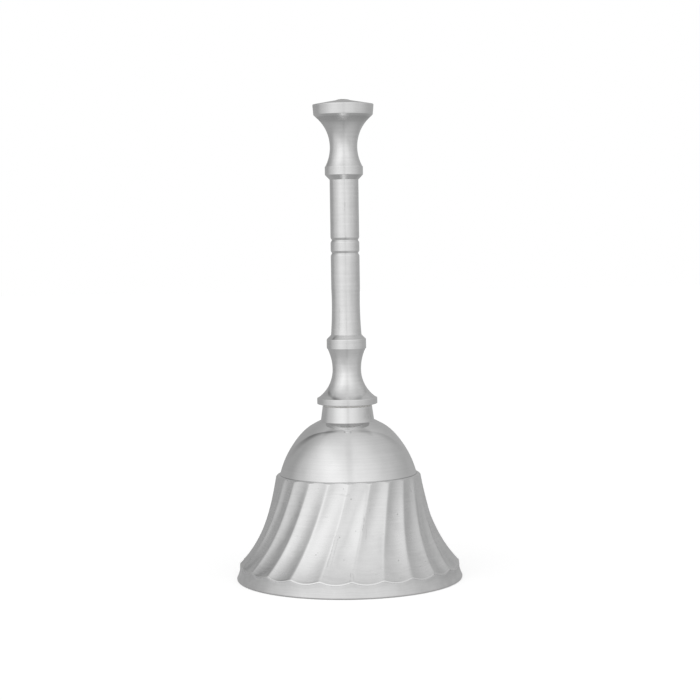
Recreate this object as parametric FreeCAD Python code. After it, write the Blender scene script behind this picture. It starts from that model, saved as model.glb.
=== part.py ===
"""A turned and cast aluminium hand bell with a fluted skirt, in millimetres.

The origin is the centre of the mouth, on the plane that the lip stands on, and +Z runs up the
handle. The handle is a stack of turned pieces on a steel tie rod, which also clamps the bell
casting. Under the crown, a yoke turns on the rod's end and carries the clapper on a cross pin.
Outlines are points of (radius, height), turned about the Z axis.
"""

import FreeCAD, Part
import math
import os

# ---- Bell casting: heights above the mouth, and radii ----
LIP_RADIUS = 40.0
LIP_INNER_RADIUS = 36.5
LIP_EDGE_ROUNDING = 0.6
BAND_TOP = (38.7, 6.0)      # the smooth band at the lip is a shallow cove through these points
BAND_MIDDLE = (39.07, 3.1)
LEDGE_HEIGHT = 37.2         # the dome's foot, where the ledge leads out to the skirt
LEDGE_INNER_RADIUS = 24.5
LEDGE_ROUNDING = 1.25
DOME_CENTRE_HEIGHT = 29.0   # the dome is half an ellipse, turned about the axis
DOME_RADIUS = 25.16
DOME_RISE = 29.45
NECK_SEAT_RADIUS = 10.1     # a narrow flat is turned on the dome round the neck's foot
NECK_FOOT_RADIUS = 9.45
NECK_TOP_RADIUS = 8.7
NECK_TOP_HEIGHT = 61.3

# ---- Skirt flare: radius of the ridges at height z is BASE - SLOPE z + FLARE exp(-z / REACH) ----
FLARE_BASE = 28.08
FLARE_SLOPE = 0.0977
FLARE_SIZE = 17.4
FLARE_REACH = 13.17

# ---- Flutes: hollow channels that wind down the skirt by one pitch ----
FLUTE_COUNT = 24
FLUTE_PITCH_DEG = 360.0 / FLUTE_COUNT
FLUTE_UNEVENNESS_DEG = 2.6  # the pattern was cut by eye: flutes are wider at the front and back
FLUTE_DEPTH = 0.87          # radius lost from a ridge to the middle of a flute
FLUTE_TOP_LOSS = 0.42       # how much shallower the flutes are at the ledge
FLUTE_FOOT_HEIGHT = 5.5     # where the winding starts to be counted
FLUTE_START_DEG = 1.0       # a ridge's azimuth from -Y towards +X at that height
FLUTE_WIND_POWER = 1.15     # above 1, so that the flutes run straighter towards the mouth
FLUTE_SECTIONS = 12

# ---- Inside of the casting ----
CAVITY_DOME_RADIUS = 22.9
CAVITY_DOME_RISE = 26.0
CAVITY_DOME_FOOT = 34.0
CROWN_FACE_HEIGHT = 54.0
CAVITY_WALL = [(23.75, 30.0), (26.1, 22.0), (29.5, 14.0), (33.8, 6.6), (35.9, 2.6)]

# ---- Tie rod, washers and nut ----
ROD_RADIUS = 2.0
ROD_BORE_RADIUS = 2.15
ROD_HEAD_RADIUS = 2.6
ROD_HEAD_DEPTH = 1.2
ROD_HEAD_CROWN = 0.45
NECK_WASHER_RADIUS = 8.55
NECK_WASHER_THICKNESS = 0.3
CROWN_WASHER_RADIUS = 5.0
CROWN_WASHER_THICKNESS = 0.8
NUT_FLATS = 7.0
NUT_HEIGHT = 3.2
NUT_CORNER_BEVEL = 0.35
NUT_THREAD_CLEARANCE = 0.02

# ---- Handle stack, from the bell up ----
FOOT_HEIGHT = NECK_TOP_HEIGHT + NECK_WASHER_THICKNESS
FLANGE_RADIUS = 10.63
FLANGE_SEAT_RADIUS = 8.8
FLANGE_BEVEL_TOP = 62.1
FLANGE_TOP = 64.2
FLANGE_INNER_RADIUS = 10.28
FOOT_WAIST_RADIUS = 5.02
FOOT_WAIST_HEIGHT = 74.15
FOOT_COLLAR_RADIUS = 6.94
FOOT_COLLAR_BOTTOM = 81.6
FOOT_COLLAR_TOP = 84.85
LOWER_GRIP_BOTTOM = 86.4
LOWER_GRIP_FOOT_RADIUS = 5.38
LOWER_GRIP_WAIST_RADIUS = 4.97
LOWER_GRIP_WAIST_HEIGHT = 94.5
LOWER_GRIP_STRAIGHT_FROM = 103.0
GRIP_RADIUS = 5.04
RING_BOTTOM = 115.1
RING_TOP = 119.7
GROOVE_DEPTH = 0.45
GROOVE_HALF_WIDTH = 0.85
KNOB_BOTTOM = 140.8
KNOB_COLLAR_RADIUS = 6.68
KNOB_COLLAR_BOTTOM = 142.5
KNOB_COLLAR_TOP = 145.4
KNOB_WAIST_RADIUS = 4.8
KNOB_WAIST_HEIGHT = 152.2
KNOB_DISC_INNER_RADIUS = 9.35
KNOB_DISC_BOTTOM = 162.4
KNOB_RIM_FOOT_RADIUS = 10.4
KNOB_RIM_BOTTOM = 163.4
KNOB_RIM_RADIUS = 10.71
KNOB_RIM_TOP = 167.0
KNOB_CROWN_HEIGHT = 168.4
EDGE_ROUNDING = 0.22

# ---- Clapper and its yoke ----
YOKE_WIDTH = 5.0
YOKE_GAP = 5.0
YOKE_SHEET = 0.8
YOKE_END_PLAY = 0.15
YOKE_BEND = 1.0
YOKE_HOLE_RADIUS = 1.58
ROD_TENON_RADIUS = 1.5
ROD_RIVET_RADIUS = 2.2
ROD_RIVET_HEIGHT = 0.8
THREAD_PAST_NUT = 0.3
PIVOT_HEIGHT = 43.6
PIN_RADIUS = 1.0
PIN_HEAD_RADIUS = 1.7
PIN_HEAD_HEIGHT = 0.6
CLAPPER_EYE_RADIUS = 2.8
CLAPPER_EYE_LENGTH = 4.2
CLAPPER_EYE_HOLE_RADIUS = 1.07
CLAPPER_ROD_RADIUS = 1.5
CLAPPER_COLLAR_RADIUS = 2.5
CLAPPER_COLLAR_HEIGHT = 1.2
BALL_RADIUS = 6.5
BALL_HEIGHT = 9.7
BALL_FLAT_RADIUS = 2.8
CLAPPER_RIVET_RADIUS = 2.2
CLAPPER_RIVET_HEIGHT = 0.8

TOUCH = 1e-4


def at(radius, height):
    """A point of an outline, in the plane that is turned about the Z axis."""
    return FreeCAD.Vector(radius, 0, height)


def line(start, end):
    return Part.LineSegment(at(*start), at(*end)).toShape()


def lines(*points):
    return [line(a, b) for a, b in zip(points, points[1:])]


def arc(start, middle, end):
    return Part.Arc(at(*start), at(*middle), at(*end)).toShape()


def curve(*points):
    spline = Part.BSplineCurve()
    spline.interpolate([at(*p) for p in points])
    return spline.toShape()


def arc_from_waist(waist, end):
    """A hollow arc that leaves the waist parallel to the axis and stops at end."""
    rise = end[1] - waist[1]
    spread = end[0] - waist[0]
    radius = (rise ** 2 + spread ** 2) / (2 * spread)
    half_turn = math.asin(abs(rise) / radius) / 2
    middle_rise = math.copysign(radius * math.sin(half_turn), rise)
    middle = (waist[0] + radius * (1 - math.cos(half_turn)), waist[1] + middle_rise)
    return waist, middle, end


def ellipse_arc(radius, rise, centre_height, top, foot):
    """Stretch of an ellipse about the axis, between two heights, as edge and end radii."""
    def radius_at(height):
        return radius * math.sqrt(1 - ((height - centre_height) / rise) ** 2)
    heights = [top + (foot - top) * step / 6 for step in range(7)]
    points = [(radius_at(height), height) for height in heights]
    return curve(*points), points[0], points[-1]


def turned(edges):
    """Solid of revolution of a closed outline."""
    face = Part.Face(Part.Wire(Part.__sortEdges__(edges)))
    solid = face.revolve(FreeCAD.Vector(0, 0, 0), FreeCAD.Vector(0, 0, 1), 360)
    return solid


def cylinder(radius, bottom, top):
    return Part.makeCylinder(radius, top - bottom, at(0, bottom))


def cross_cylinder(radius, half_length, height):
    """Cylinder along Y, centred on the Z axis."""
    start = FreeCAD.Vector(0, -half_length, height)
    return Part.makeCylinder(radius, 2 * half_length, start, FreeCAD.Vector(0, 1, 0))


def block(size_x, size_y, bottom, top):
    """Box centred on the Z axis."""
    return Part.makeBox(size_x, size_y, top - bottom, FreeCAD.Vector(-size_x / 2, -size_y / 2, bottom))


def round_edges(solid, radius, *circles):
    """Rounds the circular edges that run through the given outline points."""
    def is_chosen(edge):
        if not isinstance(edge.Curve, Part.Circle):
            return False
        found = (edge.Curve.Radius, edge.Curve.Center.z)
        return any(math.dist(found, circle) < 0.01 for circle in circles)
    return solid.makeFillet(radius, [edge for edge in solid.Edges if is_chosen(edge)])


# ---------------------------------------------------------------- bell casting

def ridge_radius(height):
    return FLARE_BASE - FLARE_SLOPE * height + FLARE_SIZE * math.exp(-height / FLARE_REACH)


def share_up(height):
    """How far up the flutes a height is: 0 at the foot, 1 at the ledge."""
    return max(0.0, (height - FLUTE_FOOT_HEIGHT) / (LEDGE_HEIGHT - FLUTE_FOOT_HEIGHT))


def ridge_azimuth_deg(index, height):
    """Azimuth of one ridge. Its even place on the ring is shifted by the pattern's unevenness."""
    even = FLUTE_PITCH_DEG * (index + share_up(height) ** FLUTE_WIND_POWER)
    return FLUTE_START_DEG + even + FLUTE_UNEVENNESS_DEG * math.sin(math.radians(2 * even))


def around(radius, azimuth_deg, height):
    """Point at an azimuth counted from -Y towards +X."""
    azimuth = math.radians(azimuth_deg)
    return FreeCAD.Vector(radius * math.sin(azimuth), -radius * math.cos(azimuth), height)


def flute_section(height):
    """Closed ring of hollow arcs between the ridges at one height."""
    ridge = ridge_radius(height)
    valley = ridge - FLUTE_DEPTH + FLUTE_TOP_LOSS * share_up(height) ** 3
    edges = []
    for index in range(FLUTE_COUNT):
        left = ridge_azimuth_deg(index, height)
        right = ridge_azimuth_deg(index + 1, height)
        start = around(ridge, left, height)
        middle = around(valley, (left + right) / 2, height)
        end = around(ridge, right, height)
        edges.append(Part.Arc(start, middle, end).toShape())
    return Part.Wire(edges)


def fluted_body():
    """Solid skirt whose side is the winding flutes, running past both ends of the skirt."""
    lowest = FLUTE_FOOT_HEIGHT - 3.5
    step = (LEDGE_HEIGHT - lowest) / (FLUTE_SECTIONS - 1)
    sections = [flute_section(lowest + step * index) for index in range(FLUTE_SECTIONS)]
    skirt = Part.makeLoft(sections, True, False)
    return skirt.fuse(cylinder(LIP_RADIUS + 2, -1, lowest))


def skirt_envelope():
    """Ledge with its rounded corner, and the smooth band at the lip: what the flutes run out on."""
    arc_end = (LEDGE_INNER_RADIUS + LEDGE_ROUNDING * math.sin(math.radians(80)),
               LEDGE_HEIGHT - LEDGE_ROUNDING * (1 - math.cos(math.radians(80))))
    arc_middle = (LEDGE_INNER_RADIUS + LEDGE_ROUNDING * math.sin(math.radians(40)),
                  LEDGE_HEIGHT - LEDGE_ROUNDING * (1 - math.cos(math.radians(40))))
    band_foot = (LIP_RADIUS, LIP_EDGE_ROUNDING)
    # From the ledge a cone at 45 degrees stands clear of the flutes, down to the band's radius.
    cone_foot = (BAND_TOP[0], arc_end[1] - (BAND_TOP[0] - arc_end[0]))
    lip_outer = (LIP_RADIUS - LIP_EDGE_ROUNDING, 0)
    lip_middle = (LIP_RADIUS - LIP_EDGE_ROUNDING * (1 - math.cos(math.radians(45))),
                  LIP_EDGE_ROUNDING * (1 - math.sin(math.radians(45))))
    edges = lines((0, 0), (0, LEDGE_HEIGHT), (LEDGE_INNER_RADIUS, LEDGE_HEIGHT))
    edges.append(arc((LEDGE_INNER_RADIUS, LEDGE_HEIGHT), arc_middle, arc_end))
    edges += lines(arc_end, cone_foot, BAND_TOP)
    edges.append(arc(BAND_TOP, BAND_MIDDLE, band_foot))
    edges.append(arc(band_foot, lip_middle, lip_outer))
    edges.append(line(lip_outer, (0, 0)))
    return turned(edges)


def dome_and_neck():
    seat_share = math.sqrt(1 - (NECK_SEAT_RADIUS / DOME_RADIUS) ** 2)
    seat = DOME_CENTRE_HEIGHT + DOME_RISE * seat_share
    dome, top, foot = ellipse_arc(DOME_RADIUS, DOME_RISE, DOME_CENTRE_HEIGHT, seat, LEDGE_HEIGHT)
    edges = [dome]
    edges += lines(foot, (0, LEDGE_HEIGHT), (0, NECK_TOP_HEIGHT), (NECK_TOP_RADIUS, NECK_TOP_HEIGHT),
                   (NECK_FOOT_RADIUS, seat), top)
    solid = turned(edges)
    return round_edges(solid, EDGE_ROUNDING, (NECK_TOP_RADIUS, NECK_TOP_HEIGHT))


def cavity():
    """Inside of the bell, from the flat face under the crown to the mouth."""
    crown, top, foot = ellipse_arc(
        CAVITY_DOME_RADIUS, CAVITY_DOME_RISE, DOME_CENTRE_HEIGHT, CROWN_FACE_HEIGHT, CAVITY_DOME_FOOT)
    mouth = (LIP_INNER_RADIUS, 0)
    edges = [crown, curve(foot, *CAVITY_WALL, mouth)]
    edges += lines(mouth, (LIP_INNER_RADIUS, -1), (0, -1), (0, CROWN_FACE_HEIGHT), top)
    return turned(edges)


def make_bell_shell():
    skirt = skirt_envelope().common(fluted_body())
    outside = skirt.fuse(dome_and_neck())
    hollow = outside.cut(cavity())
    bored = hollow.cut(cylinder(ROD_BORE_RADIUS, CROWN_FACE_HEIGHT - 1, NECK_TOP_HEIGHT + 1))
    return bored.removeSplitter()


# ---------------------------------------------------------------- handle stack

def bored(solid, bottom, top):
    return solid.cut(cylinder(ROD_BORE_RADIUS, bottom - 1, top + 1))


def make_handle_foot():
    """Flange that sits on the bell's neck, a hollow waist, and a collar under the grip."""
    waist = (FOOT_WAIST_RADIUS, FOOT_WAIST_HEIGHT)
    flange_inner = (FLANGE_INNER_RADIUS, FLANGE_TOP)
    collar_foot = (FOOT_COLLAR_RADIUS - 0.2, FOOT_COLLAR_BOTTOM)
    edges = lines((0, LOWER_GRIP_BOTTOM), (0, FOOT_HEIGHT), (FLANGE_SEAT_RADIUS, FOOT_HEIGHT),
                  (FLANGE_RADIUS, FLANGE_BEVEL_TOP), (FLANGE_RADIUS, FLANGE_TOP), flange_inner)
    edges.append(arc(*arc_from_waist(waist, flange_inner)))
    edges.append(arc(*arc_from_waist(waist, collar_foot)))
    edges += lines(collar_foot, (FOOT_COLLAR_RADIUS, FOOT_COLLAR_BOTTOM),
                   (FOOT_COLLAR_RADIUS, FOOT_COLLAR_TOP),
                   (LOWER_GRIP_FOOT_RADIUS, LOWER_GRIP_BOTTOM), (0, LOWER_GRIP_BOTTOM))
    solid = round_edges(turned(edges), EDGE_ROUNDING, (FLANGE_RADIUS, FLANGE_TOP),
                        (FLANGE_RADIUS, FLANGE_BEVEL_TOP), (FOOT_COLLAR_RADIUS, FOOT_COLLAR_TOP))
    return bored(solid, FOOT_HEIGHT, LOWER_GRIP_BOTTOM)


def groove_side(height, direction):
    """The two outline points of a bevel that is half of the groove at a joint."""
    return ((GRIP_RADIUS - GROOVE_DEPTH, height),
            (GRIP_RADIUS, height + direction * GROOVE_HALF_WIDTH))


def make_lower_grip():
    deep, shallow = groove_side(RING_BOTTOM, -1)
    foot = (LOWER_GRIP_FOOT_RADIUS, LOWER_GRIP_BOTTOM)
    straight_from = (GRIP_RADIUS, LOWER_GRIP_STRAIGHT_FROM)
    edges = [arc(foot, (LOWER_GRIP_WAIST_RADIUS, LOWER_GRIP_WAIST_HEIGHT), straight_from)]
    edges += lines(straight_from, shallow, deep, (0, RING_BOTTOM), (0, LOWER_GRIP_BOTTOM), foot)
    return bored(turned(edges), LOWER_GRIP_BOTTOM, RING_BOTTOM)


def make_centre_ring():
    low_deep, low_shallow = groove_side(RING_BOTTOM, 1)
    high_deep, high_shallow = groove_side(RING_TOP, -1)
    edges = lines((0, RING_BOTTOM), low_deep, low_shallow, high_shallow, high_deep,
                  (0, RING_TOP), (0, RING_BOTTOM))
    return bored(turned(edges), RING_BOTTOM, RING_TOP)


def make_upper_grip():
    deep, shallow = groove_side(RING_TOP, 1)
    edges = lines((0, RING_TOP), deep, shallow, (GRIP_RADIUS, KNOB_BOTTOM),
                  (0, KNOB_BOTTOM), (0, RING_TOP))
    return bored(turned(edges), RING_TOP, KNOB_BOTTOM)


def head_cone(radius_gain):
    """Countersunk head of the tie rod, or with a gain in radius, the seat that it fills."""
    top = ROD_HEAD_RADIUS + radius_gain
    bottom = ROD_RADIUS + radius_gain
    return Part.makeCone(bottom, top, ROD_HEAD_DEPTH, at(0, KNOB_CROWN_HEIGHT - ROD_HEAD_DEPTH))


def make_top_knob():
    """Collar on the grip, a hollow waist, and a disc with a shallow conical crown."""
    waist = (KNOB_WAIST_RADIUS, KNOB_WAIST_HEIGHT)
    disc_inner = (KNOB_DISC_INNER_RADIUS, KNOB_DISC_BOTTOM)
    collar_top = (KNOB_COLLAR_RADIUS - 0.15, KNOB_COLLAR_TOP)
    edges = lines((0, KNOB_BOTTOM), (GRIP_RADIUS, KNOB_BOTTOM),
                  (KNOB_COLLAR_RADIUS, KNOB_COLLAR_BOTTOM), (KNOB_COLLAR_RADIUS, KNOB_COLLAR_TOP),
                  collar_top)
    edges.append(arc(*arc_from_waist(waist, collar_top)))
    edges.append(arc(*arc_from_waist(waist, disc_inner)))
    edges += lines(disc_inner, (KNOB_RIM_FOOT_RADIUS, KNOB_RIM_BOTTOM), (KNOB_RIM_RADIUS, KNOB_RIM_TOP),
                   (ROD_HEAD_RADIUS, KNOB_CROWN_HEIGHT), (0, KNOB_CROWN_HEIGHT), (0, KNOB_BOTTOM))
    solid = round_edges(turned(edges), EDGE_ROUNDING, (KNOB_RIM_RADIUS, KNOB_RIM_TOP),
                        (KNOB_RIM_FOOT_RADIUS, KNOB_RIM_BOTTOM),
                        (KNOB_COLLAR_RADIUS, KNOB_COLLAR_BOTTOM))
    return bored(solid, KNOB_BOTTOM, KNOB_CROWN_HEIGHT).cut(head_cone(0.02))


# ---------------------------------------------------------------- rod and fasteners

def nut_top():
    return CROWN_FACE_HEIGHT - CROWN_WASHER_THICKNESS


def thread_end():
    return nut_top() - NUT_HEIGHT - THREAD_PAST_NUT


def yoke_top():
    return thread_end() - YOKE_END_PLAY


def make_tie_rod():
    """Rod with a peened head in the knob, and a riveted tenon at its foot that the yoke turns on."""
    crown_top = KNOB_CROWN_HEIGHT + ROD_HEAD_CROWN
    half = (ROD_HEAD_RADIUS * 0.6, KNOB_CROWN_HEIGHT + ROD_HEAD_CROWN * 0.75)
    head_edge = (ROD_HEAD_RADIUS, KNOB_CROWN_HEIGHT)
    edges = [arc((0, crown_top), half, head_edge)]
    edges += lines(head_edge, (0, KNOB_CROWN_HEIGHT), (0, crown_top))
    crown = turned(edges)
    shank_top = KNOB_CROWN_HEIGHT - ROD_HEAD_DEPTH
    shank = cylinder(ROD_RADIUS, thread_end(), shank_top)
    rivet_top = yoke_top() - YOKE_SHEET - YOKE_END_PLAY
    tenon = cylinder(ROD_TENON_RADIUS, rivet_top, thread_end())
    rivet = cylinder(ROD_RIVET_RADIUS, rivet_top - ROD_RIVET_HEIGHT, rivet_top)
    rivet = round_edges(rivet, ROD_RIVET_HEIGHT / 2, (ROD_RIVET_RADIUS, rivet_top - ROD_RIVET_HEIGHT))
    return crown.fuse([head_cone(0), shank, tenon, rivet]).removeSplitter()


def make_washer(radius, bottom, top):
    return cylinder(radius, bottom, top).cut(cylinder(ROD_BORE_RADIUS, bottom - 1, top + 1))


def make_neck_washer():
    return make_washer(NECK_WASHER_RADIUS, NECK_TOP_HEIGHT, FOOT_HEIGHT)


def make_crown_washer():
    solid = make_washer(CROWN_WASHER_RADIUS, nut_top(), CROWN_FACE_HEIGHT)
    return round_edges(solid, 0.2, (CROWN_WASHER_RADIUS, nut_top()))


def make_crown_nut():
    """Hexagon nut with bevelled corners."""
    top = nut_top()
    bottom = top - NUT_HEIGHT
    corner_radius = NUT_FLATS / math.sqrt(3)
    corners = [around(corner_radius, 60 * index, bottom) for index in range(7)]
    hexagon = Part.Face(Part.makePolygon(corners)).extrude(FreeCAD.Vector(0, 0, NUT_HEIGHT))
    rim = corner_radius + TOUCH
    inner = rim - 2 * NUT_CORNER_BEVEL
    barrel = turned(lines((0, bottom), (inner, bottom), (rim, bottom + NUT_CORNER_BEVEL),
                          (rim, top - NUT_CORNER_BEVEL), (inner, top), (0, top), (0, bottom)))
    thread = cylinder(ROD_RADIUS + NUT_THREAD_CLEARANCE, bottom - 1, top + 1)
    return hexagon.common(barrel).cut(thread)


# ---------------------------------------------------------------- clapper

def make_clapper_yoke():
    """Bent strip with a hole in its web and two drilled legs."""
    top = yoke_top()
    outer_width = YOKE_GAP + 2 * YOKE_SHEET
    strip = block(YOKE_WIDTH, outer_width, PIVOT_HEIGHT, top)
    bends = [edge for edge in strip.Edges
             if edge.BoundBox.ZMin > top - TOUCH and edge.BoundBox.XLength > YOKE_WIDTH - TOUCH]
    strip = strip.makeFillet(YOKE_BEND, bends)
    ends = cross_cylinder(YOKE_WIDTH / 2, outer_width / 2, PIVOT_HEIGHT)
    gap_bottom = PIVOT_HEIGHT - YOKE_WIDTH
    gap = block(YOKE_WIDTH + 2, YOKE_GAP, gap_bottom, top - YOKE_SHEET)
    pin_hole = cross_cylinder(PIN_RADIUS, outer_width, PIVOT_HEIGHT)
    rod_hole = cylinder(YOKE_HOLE_RADIUS, top - 2 * YOKE_SHEET, top + 1)
    return strip.fuse(ends).cut(gap).cut(pin_hole).cut(rod_hole).removeSplitter()


def make_clapper_pin():
    """Rivet through the yoke's legs, headed at both ends."""
    half_length = YOKE_GAP / 2 + YOKE_SHEET
    pin = cross_cylinder(PIN_RADIUS, half_length, PIVOT_HEIGHT)
    for side in (-1, 1):
        start = FreeCAD.Vector(0, side * half_length, PIVOT_HEIGHT)
        head = Part.makeCone(PIN_HEAD_RADIUS, PIN_RADIUS, PIN_HEAD_HEIGHT, start, FreeCAD.Vector(0, side, 0))
        pin = pin.fuse(head)
    return pin.removeSplitter()


def ball_flat_offset():
    """Distance from the ball's centre to the flats at the ends of its hole."""
    return math.sqrt(BALL_RADIUS ** 2 - BALL_FLAT_RADIUS ** 2)


def make_clapper_rod():
    """Rod with a drilled eye, a collar that the ball seats against, and a riveted end."""
    ball_top = BALL_HEIGHT + ball_flat_offset()
    ball_bottom = BALL_HEIGHT - ball_flat_offset()
    eye = cross_cylinder(CLAPPER_EYE_RADIUS, CLAPPER_EYE_LENGTH / 2, PIVOT_HEIGHT)
    shank = cylinder(CLAPPER_ROD_RADIUS, ball_bottom, PIVOT_HEIGHT)
    collar = Part.makeCone(CLAPPER_COLLAR_RADIUS, CLAPPER_ROD_RADIUS, CLAPPER_COLLAR_HEIGHT, at(0, ball_top))
    rivet_bottom = ball_bottom - CLAPPER_RIVET_HEIGHT
    rivet = cylinder(CLAPPER_RIVET_RADIUS, rivet_bottom, ball_bottom)
    rivet = round_edges(rivet, CLAPPER_RIVET_HEIGHT / 2, (CLAPPER_RIVET_RADIUS, rivet_bottom))
    solid = eye.fuse([shank, collar, rivet])
    return solid.cut(cross_cylinder(CLAPPER_EYE_HOLE_RADIUS, CLAPPER_EYE_LENGTH, PIVOT_HEIGHT)).removeSplitter()


def make_clapper_ball():
    ball = Part.makeSphere(BALL_RADIUS, at(0, BALL_HEIGHT))
    offset = ball_flat_offset()
    slab = block(3 * BALL_RADIUS, 3 * BALL_RADIUS, BALL_HEIGHT - offset, BALL_HEIGHT + offset)
    bottom = BALL_HEIGHT - BALL_RADIUS
    return ball.common(slab).cut(cylinder(CLAPPER_ROD_RADIUS, bottom, BALL_HEIGHT + BALL_RADIUS))


PARTS = {
    "bell_shell": make_bell_shell,
    "neck_washer": make_neck_washer,
    "handle_foot": make_handle_foot,
    "lower_grip": make_lower_grip,
    "centre_ring": make_centre_ring,
    "upper_grip": make_upper_grip,
    "top_knob": make_top_knob,
    "tie_rod": make_tie_rod,
    "crown_washer": make_crown_washer,
    "crown_nut": make_crown_nut,
    "clapper_yoke": make_clapper_yoke,
    "clapper_pin": make_clapper_pin,
    "clapper_rod": make_clapper_rod,
    "clapper_ball": make_clapper_ball,
}


def main():
    os.makedirs("parts", exist_ok=True)
    for name, make in PARTS.items():
        shape = make()
        shape.exportStep(f"parts/{name}.step")
        box = shape.optimalBoundingBox()
        print(f"{name}: {len(shape.Solids)} solid, {shape.Volume:.1f} mm3, valid {shape.isValid()}, "
              f"z {box.ZMin:.2f} to {box.ZMax:.2f}, widest {max(box.XLength, box.YLength):.2f}")


main()
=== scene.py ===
"""Looks of the hand bell: turned and cast aluminium, a steel clapper, and a plain white studio.

Outlines are (radius, height) in millimetres, turned about the Z axis and scaled to metres when a
mesh is made. Azimuths are counted from -Y, where the camera stands, towards +X.
"""

import math

import bpy
import numpy as np
from mathutils import Euler, Matrix, Vector, noise


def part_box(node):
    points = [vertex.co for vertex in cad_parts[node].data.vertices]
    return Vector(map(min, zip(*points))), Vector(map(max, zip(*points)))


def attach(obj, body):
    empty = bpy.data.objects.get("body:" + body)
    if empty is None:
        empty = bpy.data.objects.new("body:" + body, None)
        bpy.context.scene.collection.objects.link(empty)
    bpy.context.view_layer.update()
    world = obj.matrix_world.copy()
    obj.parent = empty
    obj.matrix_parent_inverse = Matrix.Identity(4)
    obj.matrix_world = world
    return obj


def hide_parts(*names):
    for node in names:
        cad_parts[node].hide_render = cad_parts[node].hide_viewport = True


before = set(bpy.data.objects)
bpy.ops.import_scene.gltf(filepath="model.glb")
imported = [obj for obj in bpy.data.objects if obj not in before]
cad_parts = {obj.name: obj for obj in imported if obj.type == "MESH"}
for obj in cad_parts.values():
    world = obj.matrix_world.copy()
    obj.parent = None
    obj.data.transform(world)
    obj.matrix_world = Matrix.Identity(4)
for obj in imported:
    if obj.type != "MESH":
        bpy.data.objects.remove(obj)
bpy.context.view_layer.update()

MM = 0.001

# ---- Camera and studio, in metres and degrees ----
CAMERA_DISTANCE = 0.630
CAMERA_HEIGHT = 0.123
CAMERA_SIDE = 0.00123
CAMERA_PITCH_DEG = 3.82
CAMERA_ROLL_DEG = 0.84
CAMERA_LENS = 92.06
SENSOR_WIDTH = 36.0
FLOOR_SIZE = 6.0
FLOOR_TONE = 0.9
FLOOR_GLOW = 0.47

# Soft lights round the bell: azimuth, elevation, inner and outer half-angle, strength.
SOFT_LIGHTS = [
    (17, -18, 0, 108, 0.17),
    (-58, 16, 0, 59, 0.25),
    (-10, 34, 25, 71, 0.16),
    (20, 60, 31, 88, 0.14),
    (74, 33, 80, 105, 0.05),
    (100, -69, 0, 74, -0.10),
]
SURROUND = 0.38

# The gap between the two front panels, where the camera looks in: its azimuth, how far from its
# middle it starts to fade and is gone, and how dark it is.
FRONT_GAP_AZIMUTH = 3
FRONT_GAP_EDGES = (0.02, 0.14)
FRONT_GAP_DARK = -0.07

# The rear panel's azimuth and elevation. Its dark rim starts, is full, begins to fade and is gone
# at these angles from the panel's middle.
REAR_PANEL = (180, 37)
REAR_RIM_DEG = (35.7, 37.5, 38.5, 47.0)
REAR_RIM_DARK = -0.20

# How the rim changes with the parts of a view direction of length 1 that point right, away from
# the middle and up: the part at which a change starts and ends, and the rim's share at each.
RIM_RIGHT = (-0.4, 0.5, 1.0, 0.35)
RIM_ASIDE = (0.16, 0.36, 0.15, 1.0)
RIM_UP = (0.15, 0.65, 0.12, 1.0)

# The dark straps that the rear panel hangs by: the parts of a view direction, away from the
# middle, up and back, between which they come in.
STRAP_DARK = -0.12
STRAP_ASIDE = (0.08, 0.3)
STRAP_UP = (0.80, 0.88)
STRAP_BACK = (0.10, 0.24)

# ---- Scratches and smudges: azimuth, height, length, width, lean (mm per mm) and darkness ----
SCRATCH_DEPTH = 0.014
# Grey towards which painted shade in inner corners and creases, and scratches, darken the turned
# metal; the next grey does the same on the skirt, with its marks and pits.
SHADE_AND_SCRATCH_TONE = 0.34
SKIRT_SHADE_AND_MARK_TONE = 0.36
SKIRT_TONES = (0.81, 0.88)
# Grey that worn crests brighten the skirt towards; on the bead this brightening is a painted
# highlight.
SKIRT_WORN_AND_SHEEN_TONE = 0.94
PIT_DARKNESS = 0.45
SKIRT_MARKS = [
    (-10.5, 16.0, 13.0, 0.24, 0.22, 0.26),
    (-8.9, 15.0, 11.0, 0.22, 0.23, 0.22),
    (10.0, 23.6, 5.5, 0.26, 0.22, 0.42),
    (11.5, 20.0, 4.0, 0.20, 0.20, 0.22),
    (0.4, 7.0, 3.4, 0.34, 0.10, 0.24),
    (1.9, 7.4, 2.6, 0.26, -0.15, 0.20),
    (-3.0, 33.2, 1.0, 2.40, 0.0, 0.16),
]
GRIP_MARKS = [
    (2.0, 131.2, 3.6, 0.30, 0.06, 0.22),
    (5.0, 120.9, 0.9, 0.45, 0.0, 0.34),
    (-28.0, 92.0, 9.0, 0.45, 0.02, 0.16),
]
NECK_MARKS = [
    (52.0, 58.9, 4.2, 3.0, 0.4, 0.18),
    (64.0, 57.8, 3.0, 2.0, 0.0, 0.16),
]

# ---- Noise on the metal: how often it changes round the axis, and per mm along the surface ----
FINE_RINGS = (0.35, 1.5)
COARSE_RINGS = (0.5, 0.45)
STREAKS = (2.6, 0.07)
CROSS_BRUSHING = (2.0, 2.4)

# ---- Heights of surface texture, in millimetres ----
COARSE_RING_SHARE = 2.2
BRUSHING_HEIGHT = 0.008
GRAIN_HEIGHT = 0.008
CLOUD_HEIGHT = 0.07
SCUFF_HEIGHT = 0.02
STEEL_GRAIN_HEIGHT = 0.006
FIBRE_HEIGHT = 0.03
FIBRE_COLORS = ((0.66, 0.65, 0.63, 1), (0.82, 0.81, 0.79, 1))

# ---- How finely turned pieces are cut up ----
TURNS = 144
SHARP_ANGLE_DEG = 35
LONGEST_RUN = 1.2
CORNER_STEPS = 4
CORNER_GUARD = 0.12
CORNER_RADIUS = 0.22
FINE_CORNER = 0.06
NEAR_AXIS = 0.02
BORE_RADIUS = 2.15

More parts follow.
